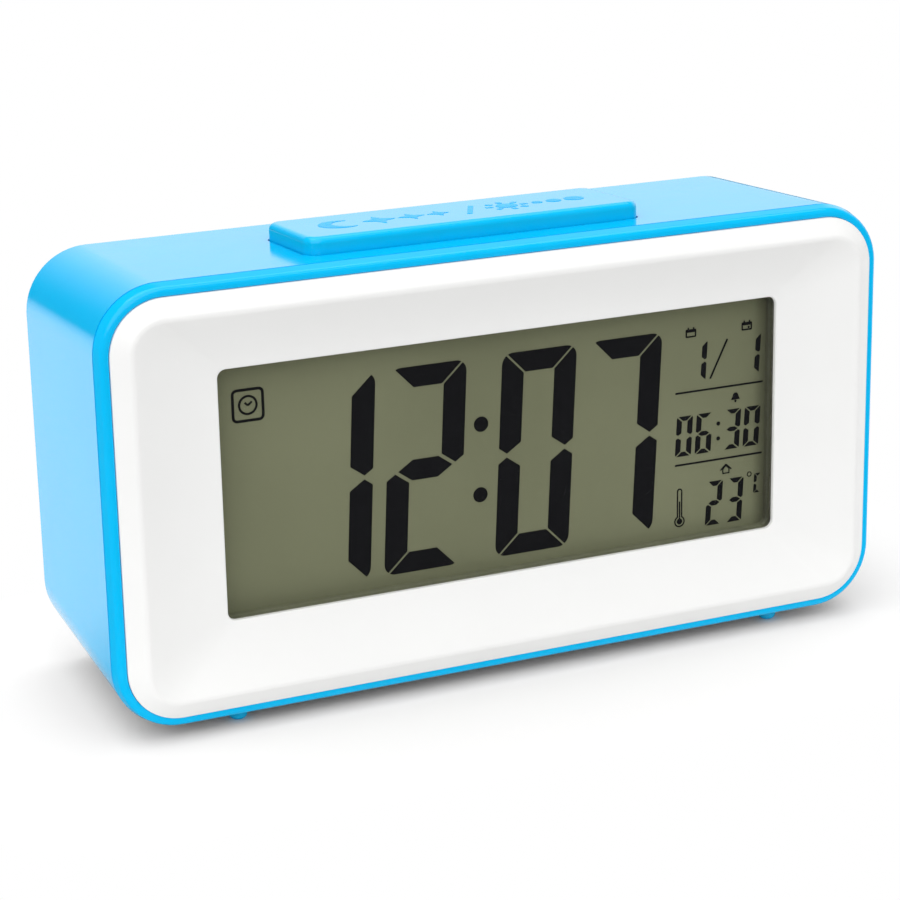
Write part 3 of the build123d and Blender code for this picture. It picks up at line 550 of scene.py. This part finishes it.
def addBell(bm, centre, size):
    x, z = centre
    side, neck, dome = bellShape["side"], bellShape["neck"], bellShape["dome"]
    turns = arc(pi, -pi, 12)
    curve = [(x + side * size * cos(turn), z + (neck + dome * sin(turn)) * size) for turn in turns]
    mouth, foot = bellShape["mouth"] * size, z - bellShape["foot"] * size
    addOutline(bm, [(x - mouth, foot), *curve, (x + mouth, foot)])
    addDisc(bm, (x, z - bellShape["hang"] * size), bellShape["clapper"] * size, 16)


def makePiece(name, bm, finish):
    mesh = bpy.data.meshes.new(name)
    bm.to_mesh(mesh)
    bm.free()
    mesh.materials.append(finish)
    piece = bpy.data.objects.new(name, mesh)
    scene.collection.objects.link(piece)
    return piece


def finishMarks(name, bm, matrix, thick, finish, body):
    raised = bmesh.ops.extrude_face_region(bm, geom=bm.faces[:])["geom"]
    front = [item for item in raised if isinstance(item, bmesh.types.BMVert)]
    bmesh.ops.translate(bm, vec=(0, -thick / mm, 0), verts=front)
    bmesh.ops.recalc_face_normals(bm, faces=bm.faces[:])
    bmesh.ops.transform(bm, matrix=matrix @ Matrix.Scale(mm, 4), verts=bm.verts)
    piece = makePiece(name, bm, finish)
    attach(piece, body)


# Seven-bar digits with mitred, rounded corners and a slight lean
digitShape = dict(
    width=13.3,
    height=33.95,
    stroke=3.9,
    beam=3.4,
    corner=1.9,
    mitre=((0.75, 0.25), (4.0, 3.42)),
    tip=1.45,
    tipRise=0.69,
    middleTip=1.96,
    lean=0.055,
)
litBars = {"0": "abcdef", "1": "bc", "2": "abdeg", "3": "abcdg", "6": "acdefg", "7": "abc", "C": "adef"}


def cutBar(points, rounded, radius, cuts):  # a bar with round corners, trimmed by straight cuts
    bar = bmesh.new()
    face = addOutline(bar, points)
    roundCorners(bar, [face.verts[i] for i in rounded], radius)
    for (x, z), (awayX, awayZ) in cuts:
        everything = bar.verts[:] + bar.edges[:] + bar.faces[:]
        bmesh.ops.bisect_plane(
            bar, geom=everything, plane_co=(x, 0, z), plane_no=(awayX, 0, awayZ), clear_outer=True
        )
    return bar


def digitBar(key, shape, gap):
    half, top = shape["width"] / 2, shape["height"] / 2
    stroke, beam, tip, rise = shape["stroke"], shape["beam"], shape["tip"], shape["tipRise"]
    (outX, outZ), (inX, inZ) = shape["mitre"]
    slant = Vector((inZ - outZ, outX - inX)).normalized()  # points from the beam towards the upright
    onLine = Vector((half - outX, top - outZ))
    if key in "ad":
        flat = ((-half, top - beam), (half, top - beam), (half, top), (-half, top))
        shift = onLine - slant * gap / 2
        cuts = [(shift, slant), ((-shift.x, shift.y), (-slant.x, slant.y))]
        bar = cutBar(flat, (2, 3), shape["corner"], cuts)
    elif key == "g":
        end = half - shape["middleTip"]
        shoulder = end - beam / 2 / rise
        bar = bmesh.new()
        upper = ((shoulder, beam / 2), (-shoulder, beam / 2))
        lower = ((-shoulder, -beam / 2), (shoulder, -beam / 2))
        addOutline(bar, ((end, 0), *upper, (-end, 0), *lower))
    else:
        upright = ((half - stroke, 0), (half, 0), (half, top), (half - stroke, top))
        point = (half - tip, gap)
        cuts = [(onLine + slant * gap / 2, -slant), (point, (rise, -1)), (point, (-rise, -1))]
        bar = cutBar(upright, (2,), shape["corner"], cuts)
    flipX = -1 if key in "ef" else 1
    flipZ = -1 if key in "cde" else 1
    return bar, Matrix.Diagonal((flipX, 1, flipZ, 1))


def addDigits(bm, marks):  # each sign stands with the place of its left side
    size = marks["height"] / digitShape["height"]
    widen, bold = marks.get("widen", 1.0), marks.get("bold", 1.0)
    shape = dict(digitShape)
    for key in ("stroke", "beam", "tip"):
        shape[key] *= bold
    outer, inner = digitShape["mitre"]
    shape["mitre"] = (outer, tuple(reach * bold for reach in inner))
    lean = Matrix.Identity(4)
    lean[0][2] = digitShape["lean"]
    scale = Matrix.Diagonal((size * widen, 1, size, 1))
    for sign, left in marks["digits"]:
        middle = left + digitShape["width"] * size * widen / 2
        seat = Matrix.Translation((middle, 0, marks["middle"]))
        for key in litBars[sign]:
            bar, flip = digitBar(key, shape, marks["gap"] / size)
            addMesh(bm, bar, seat @ lean @ scale @ flip)


# Display marks sit on the front of the glass, measured from the middle of the face
printSeat = dict(thick=0.05 * mm, sunk=0.01 * mm, shift=-0.15 * mm)
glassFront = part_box("lcd_front_glass")[0].y
rimLow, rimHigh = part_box("front_rim")
onGlass = Matrix.Translation(
    (printSeat["shift"], glassFront + printSeat["sunk"], (rimLow.z + rimHigh.z) / 2)
)


def displayPiece(name, bm):
    finishMarks(name, bm, onGlass, printSeat["thick"], segmentInk, "clock")


timeMarks = dict(
    digits=(("1", -35.8), ("2", -20.13), ("0", -0.6), ("7", 15.05)), middle=-0.72,
    height=digitShape["height"], gap=0.32, colon=-3.78, rise=5.9, dot=1.27,
)


def timePiece(marks):
    bm = bmesh.new()
    addDigits(bm, marks)
    for way in (-1, 1):
        x = marks["colon"] + way * marks["rise"] * digitShape["lean"] / 2
        addDisc(bm, (x, marks["middle"] + way * marks["rise"]), marks["dot"])
    displayPiece("lcd_time", bm)


iconMarks = dict(
    low=(-45.47, 11.03), high=(-40.12, 16.4), corner=0.9, line=0.45, dial=1.6, dialLine=0.36,
    pin=(0, -0.05), hands=((-0.5, 0.42), (0.68, 0.5)), handLine=0.3375,
)


def iconPiece(marks):  # a small clock in a frame
    bm = bmesh.new()
    low, high = Vector(marks["low"]), Vector(marks["high"])
    hollow(bm, addBox(bm, low, high, marks["corner"]), marks["line"])
    centre = (low + high) / 2
    hollow(bm, addDisc(bm, centre, marks["dial"]), marks["dialLine"])
    for reach in marks["hands"]:
        addStroke(bm, centre + Vector(marks["pin"]), centre + Vector(reach), marks["handLine"])
    displayPiece("lcd_icon", bm)


dateMarks = dict(
    digits=(("1", 34.95), ("1", 45.15)), middle=10.45, height=6.75, gap=0.2, bold=1.22,
    slash=((41.5, 13.6), (38.3, 7.18)), slashLine=0.34,
)
ruleMarks = dict(left=31.75, right=48.4, heights=(5.42, -7.04), line=0.32)


def datePiece(marks, rules):
    bm = bmesh.new()
    addDigits(bm, marks)
    addStroke(bm, *marks["slash"], marks["slashLine"])
    for z in rules["heights"]:
        addStroke(bm, (rules["left"], z), (rules["right"], z), rules["line"])
    displayPiece("lcd_date", bm)


alarmMarks = dict(
    digits=(("0", 31.9), ("6", 35.65), ("3", 41.1), ("0", 44.85)), middle=-2.1, height=6.9, gap=0.22,
    widen=1.12, bold=1.1, colon=39.95, rise=1.3, dot=0.36,
)


def alarmPiece(marks):
    bm = bmesh.new()
    addDigits(bm, marks)
    for way in (-1, 1):
        addDisc(bm, (marks["colon"], marks["middle"] + way * marks["rise"]), marks["dot"], 20)
    displayPiece("lcd_alarm", bm)


warmthMarks = dict(
    digits=(("2", 37.75), ("3", 41.75)), middle=-14.62, height=7.7, gap=0.2, bold=1.12,
    degree=(46.05, -10.55), ring=0.47, ringLine=0.17,
)
unitMarks = dict(digits=(("C", 46.95),), middle=-12.3, height=3.4, gap=0.12, bold=1.35)
gaugeMarks = dict(x=32.65, top=-11.1, bulb=-16.9, stem=0.52, ball=1.0, line=0.24, core=0.52, fill=-13.4)


def gaugeOutline(gauge, inset):  # a ball below a stem with a round top
    x, bulb, stem, ball = gauge["x"], gauge["bulb"], gauge["stem"] - inset, gauge["ball"] - inset
    neck = asin(stem / ball)  # half the angle where the stem leaves the bulb
    below = arc(pi / 2 + neck, 2 * pi - 2 * neck, 24)
    around = [(x + ball * cos(turn), bulb + ball * sin(turn)) for turn in below]
    tip = gauge["top"] - gauge["stem"]
    return around + [(x + stem * cos(turn), tip + stem * sin(turn)) for turn in arc(0, pi, 10)]


def warmthPiece(marks, unit, gauge):
    bm = bmesh.new()
    addDigits(bm, marks)
    hollow(bm, addDisc(bm, marks["degree"], marks["ring"], 24), marks["ringLine"])
    addDigits(bm, unit)
    addRing(bm, gaugeOutline(gauge, 0), gaugeOutline(gauge, gauge["line"]))
    centre = (gauge["x"], gauge["bulb"])
    addDisc(bm, centre, gauge["core"], 24)
    addStroke(bm, centre, (gauge["x"], gauge["fill"]), gauge["line"])
    displayPiece("lcd_warmth", bm)


badgeMarks = dict(
    line=0.26, calendars=((34.6, 15.45), (45.2, 15.4)), leaf=((-1.0, -0.75), (1.0, 0.65)), corner=0.2,
    header=(0.95, 0.25), pegs=(0.5, 0.6, 0.95), day=(0.35, -0.25), dayDot=0.2,
    bell=(43.2, 3.45), bellSize=0.9, house=(41.5, -9.05), inside=0.7, ridge=0.9, eaves=(1.05, -0.05),
    walls=((-0.7, -0.75), (0.7, -0.75), (0.7, 0.1), (0, 0.8), (-0.7, 0.1)),
)


def badgePiece(marks):  # small signs beside the fields: calendars, bell and house
    bm = bmesh.new()
    line = marks["line"]
    (left, low), (right, high) = marks["leaf"]
    wide, header = marks["header"]
    aside, pegLow, pegHigh = marks["pegs"]
    for x, z in marks["calendars"]:
        hollow(bm, addBox(bm, (x + left, z + low), (x + right, z + high), marks["corner"]), line)
        addStroke(bm, (x - wide, z + header), (x + wide, z + header), line)
        for way in (-aside, aside):
            addStroke(bm, (x + way, z + pegLow), (x + way, z + pegHigh), line)
    day = Vector(marks["calendars"][1]) + Vector(marks["day"])  # only the second has its day marked
    addDisc(bm, day, marks["dayDot"], 16)
    addBell(bm, marks["bell"], marks["bellSize"])
    x, z = marks["house"]
    shares = (1, marks["inside"])
    addRing(bm, *([(x + out * share, z + up * share) for out, up in marks["walls"]] for share in shares))
    out, up = marks["eaves"]
    for way in (-1, 1):
        addStroke(bm, (x, z + marks["ridge"]), (x + way * out, z + up), line)
    displayPiece("lcd_badges", bm)


timePiece(timeMarks)
iconPiece(iconMarks)
datePiece(dateMarks, ruleMarks)
alarmPiece(alarmMarks)
warmthPiece(warmthMarks, unitMarks, gaugeMarks)
badgePiece(badgeMarks)
print("display marks made")

# Snooze bar marks: moon and stars, a slash, a sun and dots, thin on the bar's top
barInkLook = dict(
    colour=(0, 185, 245), vary=0.05, patch=6 * mm, rough=(0.3, 0.4), smear=1 * mm,
    skin=0.25 * mm, depth=1e-6, gloss=0.12,
)
barMarks = dict(
    thick=0.06 * mm, sunk=0.01 * mm, flatWithin=0.001 * mm, line=0.9, rise=-0.2,
    moon=(-20.0, 3.4), bite=0.45, hole=0.8,  # shift and size of the moon's inner arc, in radii
    stars=((-13.2, 2.8), (-7.6, 2.3), (-2.9, 1.9)), waist=0.42, stretch=1.2,
    slash=((1.2, -3.4), (4.4, 3.4)), sun=(9.3, 1.8), rays=(2.5, 3.7), rayLine=0.81,
    dots=((14.8, 0.9), (17.8, 1.3), (21.5, 1.7)),
)


def flatTop(name, up, within):  # middle of the node's flat face that looks along up
    points = [vertex.co for vertex in nodes[name].data.vertices]
    reach = max(point.dot(up) for point in points)
    flat = [point for point in points if point.dot(up) > reach - within]
    low = Vector(map(min, *flat))
    return (low + Vector(map(max, *flat))) / 2


def moonOutline(marks):
    x, size = marks["moon"]
    rise, bite, hole = marks["rise"], marks["bite"], marks["hole"]
    tipX = (1 - hole**2 + bite**2) / (2 * bite)
    outerTip, innerTip = acos(tipX), acos((tipX - bite) / hole)
    outer = arc(outerTip, 2 * pi - 2 * outerTip, 24)
    inner = arc(2 * pi - innerTip, 2 * innerTip - 2 * pi, 24)[1:-1]
    points = [(x + size * cos(turn), rise + size * sin(turn)) for turn in outer]
    for turn in inner:
        points.append((x + size * (bite + hole * cos(turn)), rise + size * hole * sin(turn)))
    return points


def snoozeMarks(marks):
    up = -Vector(joints["snooze_press"]["axis"]).normalized()
    across = Vector((1, 0, 0))
    seat = Matrix((across, -up, across.cross(-up))).transposed().to_4x4()
    seat.translation = flatTop("snooze_bar", up, marks["flatWithin"]) - up * marks["sunk"]
    rise = marks["rise"]
    eighths = [i * pi / 4 for i in range(8)]
    bm = bmesh.new()
    addOutline(bm, moonOutline(marks))
    for x, size in marks["stars"]:
        points = []
        for i, turn in enumerate(eighths):
            reach = size if i % 2 == 0 else size * marks["waist"]
            points.append((x + reach * cos(turn), rise + reach * marks["stretch"] * sin(turn)))
        addOutline(bm, points)
    low, high = marks["slash"]
    addStroke(bm, (low[0], rise + low[1]), (high[0], rise + high[1]), marks["line"])
    x, size = marks["sun"]
    addDisc(bm, (x, rise), size, 32)
    for turn in eighths:
        way = Vector((cos(turn), sin(turn)))
        inner, outer = (Vector((x, rise)) + way * reach for reach in marks["rays"])
        addStroke(bm, inner, outer, marks["rayLine"])
    for x, size in marks["dots"]:
        addDisc(bm, (x, rise), size, 24)
    ink = moulded("barInk", barInkLook)
    finishMarks("bar_marks", bm, seat, marks["thick"], ink, "snooze")


snoozeMarks(barMarks)
print("snooze bar marks made")

# Printed marks on the back, above the buttons and the slide switch
backMarks = dict(
    thick=0.05 * mm, sunk=0.01 * mm, rise=9.2, size=1.35, line=0.4,
    hands=((0, 0.7), (0.5, 0)), handLine=0.36, arrowFoot=0.8,  # shares of the size, but for the line
    alarmOn=(2.2, 0.9), alarmOff=(2.4, 0.8),  # away from the knob, and share of the size
)


def backPiece(marks):
    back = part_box("rear_case")[1].y
    spots = [sum(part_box(f"rear_button_{i}"), Vector()) / 2 for i in buttonNumbers]
    knobLow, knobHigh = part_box("alarm_switch_knob")
    seat = Matrix.Rotation(pi, 4, "Z")
    seat.translation = (0, back - marks["sunk"], 0)
    size, line = marks["size"], marks["line"]
    z = spots[0].z / mm + marks["rise"]
    bm = bmesh.new()
    dial, bell, up, down = (-spot.x / mm for spot in spots)
    hollow(bm, addDisc(bm, (dial, z), size), line)
    for out, rise in marks["hands"]:
        addStroke(bm, (dial, z), (dial + out * size, z + rise * size), marks["handLine"])
    addBell(bm, (bell, z), size)
    for x, way in ((up, 1), (down, -1)):
        foot = z - way * marks["arrowFoot"] * size
        addOutline(bm, ((x - size, foot), (x + size, foot), (x, z + way * size)))
    away, share = marks["alarmOn"]
    addBell(bm, (-knobHigh.x / mm - away, z), size * share)
    away, share = marks["alarmOff"]
    hollow(bm, addDisc(bm, (-knobLow.x / mm + away, z), size * share), line)
    finishMarks("back_marks", bm, seat, marks["thick"], whiteKey, "clock")


backPiece(backMarks)
print("back marks made")

# Leaf springs under the snooze bar: a welded copy of the node, shaded smooth, rides with the clock
springFlex = dict(weld=softLook["weld"], spare=0.03 * mm)


def leafSprings(flex):
    node = nodes["snooze_springs"]
    bm = bmesh.new()
    bm.from_mesh(node.data)
    bmesh.ops.remove_doubles(bm, verts=bm.verts, dist=flex["weld"])
    piece = makePiece("leaf_springs", bm, node.material_slots[0].material)
    shadeSoftly(piece)
    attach(piece, "clock")
    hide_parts("snooze_springs")
    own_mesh(piece)


leafSprings(springFlex)
print("leaf springs made")

# Floor, lamps, world and camera
# dark, bright, reach and sheet set a painted reflection: how the floor shows to glossy rays
floorLook = dict(
    half=2.5, front=-0.068, cells=8, colour=(248, 248, 248), vary=0.01, patch=0.4, rough=0.9,
    dark=0.05, bright=0.92, fade=(0.002, 0.034), reach=(0.4, 1.1),
    sheet=((0.809, 0.588, 0, -0.0674, -0.0414), (0, 1, 0, -0.028, -0.012)),  # directions, start and end
)


def awayFromClock(tree, place):  # distance on the floor from the outline of the clock
    low, high = cadBox
    squares = []
    for axis, start, end in (("X", low[0], high[0]), ("Y", low[1], high[1])):
        offset = mathNode(tree, "SUBTRACT", along(tree, place, axis), (start + end) / 2)
        past = mathNode(tree, "SUBTRACT", mathNode(tree, "ABSOLUTE", offset), (end - start) / 2)
        squares.append(mathNode(tree, "POWER", mathNode(tree, "MAXIMUM", past, 0.0), 2.0))
    return mathNode(tree, "SQRT", mathNode(tree, "ADD", *squares))


def paleFloor(look):
    finish, tree, shader, place = startFinish("paleFloor")
    colour = screenColour(*look["colour"])
    white = shades(tree, specks(tree, place, look["patch"]), dimmed(colour, 1 - look["vary"]), colour)
    length = tree.nodes.new("ShaderNodeVectorMath")
    length.operation = "LENGTH"
    tree.links.new(place, length.inputs[0])
    sheet = between(tree, length.outputs["Value"], look["bright"], 0, *look["reach"])
    for x, y, z, start, end in look["sheet"]:  # painted reflection: to glossy rays the floor is dark outside a sheet behind the clock, so the gloss mirrors only that sheet
        inside = between(tree, towards(tree, place, (x, y, z)), 0, 1, start, end)
        sheet = mathNode(tree, "MULTIPLY", sheet, inside)
    rays = tree.nodes.new("ShaderNodeLightPath").outputs
    # Painted dark reflection: glossy rays see the floor near black outside the sheet
    paintedDarkReflection = mathNode(tree, "MULTIPLY", rays["Is Glossy Ray"], mathNode(tree, "SUBTRACT", 1.0, sheet))
    tree.links.new(blended(tree, paintedDarkReflection, white, grey(look["dark"])), shader.inputs["Base Color"])
    setLook(shader, Roughness=look["rough"], Specular_IOR_Level=0.0)
    faded = between(tree, awayFromClock(tree, place), 0, 1, *look["fade"])
    seen = mathNode(tree, "MULTIPLY", rays["Is Camera Ray"], faded)
    paper = tree.nodes.new("ShaderNodeEmission").outputs["Emission"]  # as white as the background
    shownInstead(tree, shader, seen, paper)
    return finish


def makeFloor(look):
    bm = bmesh.new()
    bmesh.ops.create_grid(bm, x_segments=look["cells"], y_segments=look["cells"], size=look["half"])
    bmesh.ops.translate(bm, vec=(0, look["half"] + look["front"], 0), verts=bm.verts)
    floor = makePiece("floor", bm, paleFloor(look))


keyLamp = dict(place=(-0.6, -0.8, 1.3), turn=(37.6, 0, -36.9), size=(2.4, 2.4), power=16.5)
stripLamp = dict(place=(0.06, 0.3, 1.0), turn=(0, 0, 0), size=(1.2, 0.8), power=3.2)


def setPlace(holder, look):
    holder.location = look["place"]
    holder.rotation_euler = Euler(radians(angle) for angle in look["turn"])
    scene.collection.objects.link(holder)


def makeLamp(name, look):
    lamp = bpy.data.lights.new(name, "AREA")
    lamp.shape = "RECTANGLE"
    lamp.size, lamp.size_y = look["size"]
    lamp.energy = look["power"]
    setPlace(bpy.data.objects.new(name, lamp), look)


studio = dict(ambient=0.75, card=(45, 8), edge=(60, 30), top=(24, 44), bright=0.94, dark=0.05)


def makeWorld(look):  # even light all round, and a bright card behind for the gloss to mirror
    world = bpy.data.worlds.new("studio")
    scene.world = world
    world.use_nodes = True
    tree = world.node_tree
    ground = tree.nodes["Background"]
    rays = tree.nodes.new("ShaderNodeLightPath").outputs
    way = tree.nodes.new("ShaderNodeTexCoord").outputs["Generated"]
    turn, rise = (radians(angle) for angle in look["card"])
    toCard = towards(tree, way, (sin(turn) * cos(rise), cos(turn) * cos(rise), sin(rise)))
    disc = between(tree, toCard, 0.0, 1.0, *(cos(radians(angle)) for angle in look["edge"]))
    up = along(tree, way, "Z")
    topEdge = between(tree, up, 1.0, 0.0, *(sin(radians(angle)) for angle in look["top"]))
    card = between(tree, mathNode(tree, "MULTIPLY", disc, topEdge), look["dark"], look["bright"], 0.0, 1.0)
    mirrored = mathNode(tree, "MAXIMUM", rays["Is Glossy Ray"], rays["Is Transmission Ray"])
    level = look["ambient"]
    for ray, value in ((mirrored, card), (rays["Is Camera Ray"], 1.0)):
        mix = tree.nodes.new("ShaderNodeMix")
        for socket, source in zip(("Factor", "A", "B"), (ray, level, value)):
            feed(tree, mix.inputs[socket], source)
        level = mix.outputs["Result"]
    tree.links.new(level, ground.inputs["Strength"])
    ground.inputs["Color"].default_value = grey(1)


view = dict(
    place=(-0.17, -0.37652, 0.16014), turn=(73.447, 1.057, -24.541), lens=103.958, sensor=36,
    shift=(-0.01204, -0.02672), near=0.01,
)


def makeCamera(look):
    lens = bpy.data.cameras.new("view")
    lens.lens = look["lens"]
    lens.sensor_width = look["sensor"]
    lens.shift_x, lens.shift_y = look["shift"]
    lens.clip_start = look["near"]
    camera = bpy.data.objects.new("view", lens)
    setPlace(camera, look)
    scene.camera = camera


makeFloor(floorLook)
makeLamp("keyLamp", keyLamp)
makeLamp("stripLamp", stripLamp)
makeWorld(studio)
makeCamera(view)
print("studio set")
